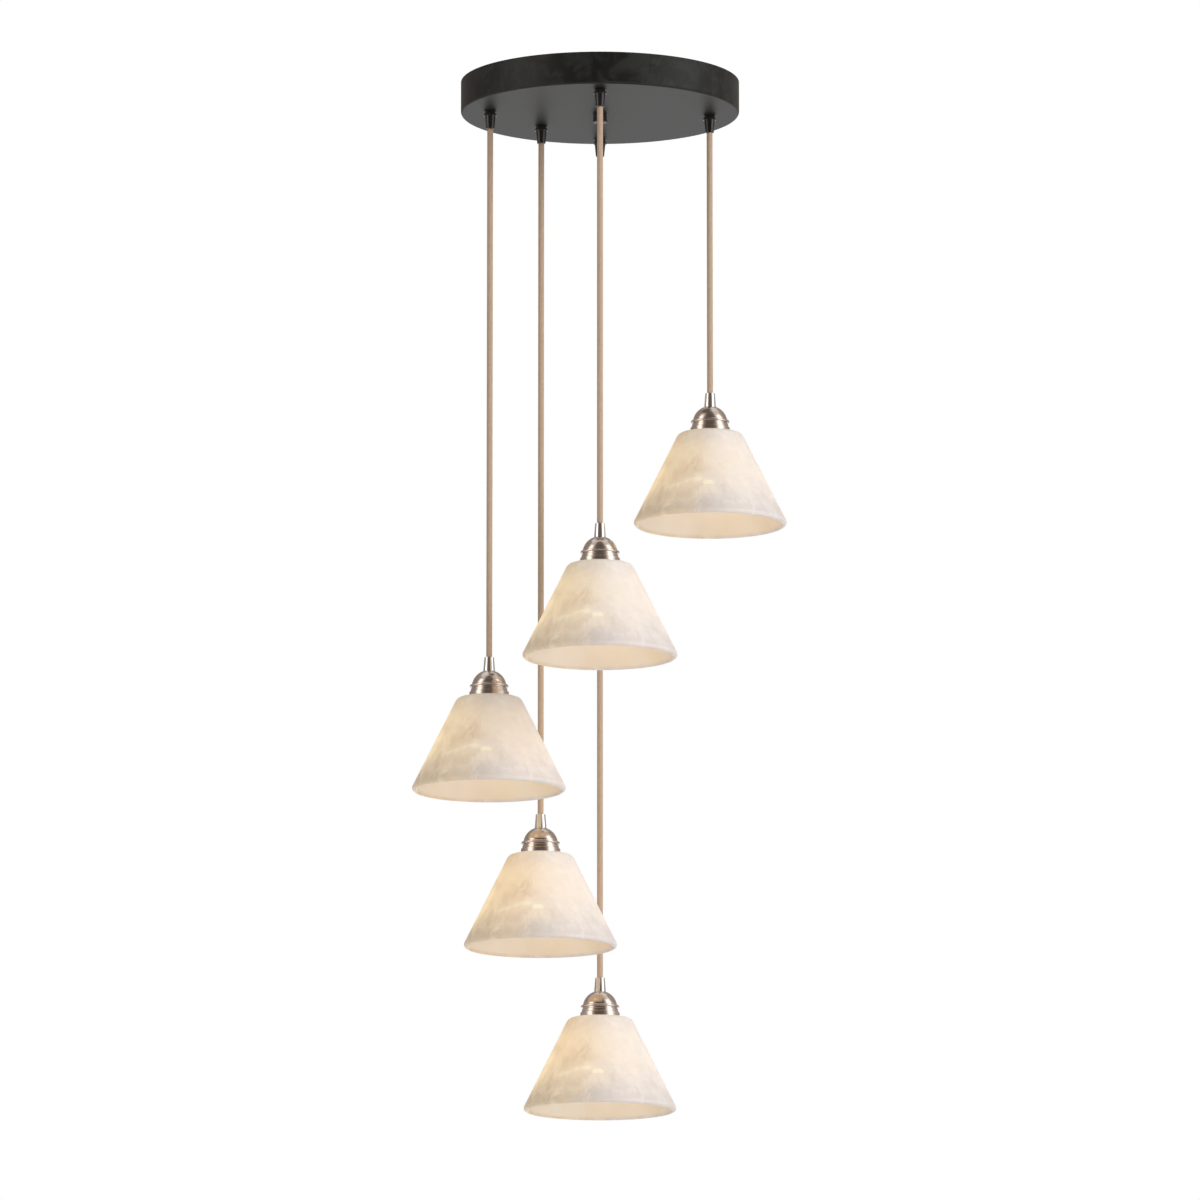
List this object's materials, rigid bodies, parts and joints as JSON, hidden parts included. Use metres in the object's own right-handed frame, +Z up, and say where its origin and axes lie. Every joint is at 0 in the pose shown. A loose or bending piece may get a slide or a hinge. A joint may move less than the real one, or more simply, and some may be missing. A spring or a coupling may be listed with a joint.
{
  "type": "cluster pendant",
  "caption": "Cluster pendant light: a round ceiling canopy with translucent conical shades on cloth-covered cords of stepped lengths, each with a domed cap and a screw-base bulb.",
  "frame": {"origin": "on the ceiling plane, midway between the crossbar's two slots and on the canopy's axis", "axes": "+Z up to the ceiling, +X to the right and +Y away from the viewer; the shortest pendant is at +X"},
  "size_m": [0.44, 0.451, 1.2107],
  "materials": {
    "canopy_black": "satin",
    "finial_black": "satin",
    "grip_black": "gloss",
    "zinc_steel": "satin",
    "ground_green": "satin",
    "cord_beige": "matte",
    "wire_white": "satin",
    "splice_yellow": "satin",
    "polished_chrome": "polished",
    "brushed_nickel": "satin",
    "holder_white": "satin",
    "shell_brass": "satin",
    "alabaster": "satin",
    "bulb_metal": "satin",
    "bulb_frosted": "satin"
  },
  "bodies": {
    "canopy": {"canopy_pan": "canopy_black", "crossbar": "zinc_steel", "ground_screw": "ground_green", "center_nipple": "zinc_steel", "canopy_finial": "finial_black", "locknuts": "zinc_steel", "cord_grips": "grip_black", "cord_tails": "cord_beige", "lead_wires": "wire_white", "wire_connectors": "splice_yellow"},
    "cord_1": {"cord_1": "cord_beige"},
    "lamp_1": {"cap_grip_1": "polished_chrome", "socket_cap_1": "brushed_nickel", "lampholder_1": "holder_white", "screw_shell_1": "shell_brass", "lamp_lead_1": "cord_beige", "shade_1": "alabaster", "shade_ring_1": "holder_white", "bulb_base_1": "bulb_metal", "bulb_glass_1": "bulb_frosted"},
    "cord_2": {"cord_2": "cord_beige"},
    "lamp_2": {"cap_grip_2": "polished_chrome", "socket_cap_2": "brushed_nickel", "lampholder_2": "holder_white", "screw_shell_2": "shell_brass", "lamp_lead_2": "cord_beige", "shade_2": "alabaster", "shade_ring_2": "holder_white", "bulb_base_2": "bulb_metal", "bulb_glass_2": "bulb_frosted"},
    "cord_3": {"cord_3": "cord_beige"},
    "lamp_3": {"cap_grip_3": "polished_chrome", "socket_cap_3": "brushed_nickel", "lampholder_3": "holder_white", "screw_shell_3": "shell_brass", "lamp_lead_3": "cord_beige", "shade_3": "alabaster", "shade_ring_3": "holder_white", "bulb_base_3": "bulb_metal", "bulb_glass_3": "bulb_frosted"},
    "cord_4": {"cord_4": "cord_beige"},
    "lamp_4": {"cap_grip_4": "polished_chrome", "socket_cap_4": "brushed_nickel", "lampholder_4": "holder_white", "screw_shell_4": "shell_brass", "lamp_lead_4": "cord_beige", "shade_4": "alabaster", "shade_ring_4": "holder_white", "bulb_base_4": "bulb_metal", "bulb_glass_4": "bulb_frosted"},
    "cord_5": {"cord_5": "cord_beige"},
    "lamp_5": {"cap_grip_5": "polished_chrome", "socket_cap_5": "brushed_nickel", "lampholder_5": "holder_white", "screw_shell_5": "shell_brass", "lamp_lead_5": "cord_beige", "shade_5": "alabaster", "shade_ring_5": "holder_white", "bulb_base_5": "bulb_metal", "bulb_glass_5": "bulb_frosted"}
  },
  "joints": [
    {"name": "swing_1", "type": "hinge", "parent": "canopy", "child": "cord_1", "pos_m": [0.13002, 0.01, -0.0622], "axis": [0.6494, 0.7604, 0], "range_deg": [-6, 6]},
    {"name": "tilt_1", "type": "hinge", "parent": "cord_1", "child": "lamp_1", "pos_m": [0.13002, 0.01, -0.3735], "axis": [0.6494, 0.7604, 0], "range_deg": [-10, 10]},
    {"name": "swing_2", "type": "hinge", "parent": "canopy", "child": "cord_2", "pos_m": [0, -0.131, -0.0622], "axis": [0.6494, 0.7604, 0], "range_deg": [-6, 6]},
    {"name": "tilt_2", "type": "hinge", "parent": "cord_2", "child": "lamp_2", "pos_m": [0, -0.131, -0.5555], "axis": [0.6494, 0.7604, 0], "range_deg": [-10, 10]},
    {"name": "swing_3", "type": "hinge", "parent": "canopy", "child": "cord_3", "pos_m": [-0.13004, -0.01206, -0.0622], "axis": [0.6494, 0.7604, 0], "range_deg": [-6, 6]},
    {"name": "tilt_3", "type": "hinge", "parent": "cord_3", "child": "lamp_3", "pos_m": [-0.13004, -0.01206, -0.6935], "axis": [0.6494, 0.7604, 0], "range_deg": [-10, 10]},
    {"name": "swing_4", "type": "hinge", "parent": "canopy", "child": "cord_4", "pos_m": [-0.06997, 0.06804, -0.0622], "axis": [0.6494, 0.7604, 0], "range_deg": [-6, 6]},
    {"name": "tilt_4", "type": "hinge", "parent": "cord_4", "child": "lamp_4", "pos_m": [-0.06997, 0.06804, -0.8675], "axis": [0.6494, 0.7604, 0], "range_deg": [-10, 10]},
    {"name": "swing_5", "type": "hinge", "parent": "canopy", "child": "cord_5", "pos_m": [0, 0.14, -0.0622], "axis": [0.6494, 0.7604, 0], "range_deg": [-6, 6]},
    {"name": "tilt_5", "type": "hinge", "parent": "cord_5", "child": "lamp_5", "pos_m": [0, 0.14, -1.052], "axis": [0.6494, 0.7604, 0], "range_deg": [-10, 10]}
  ]
}
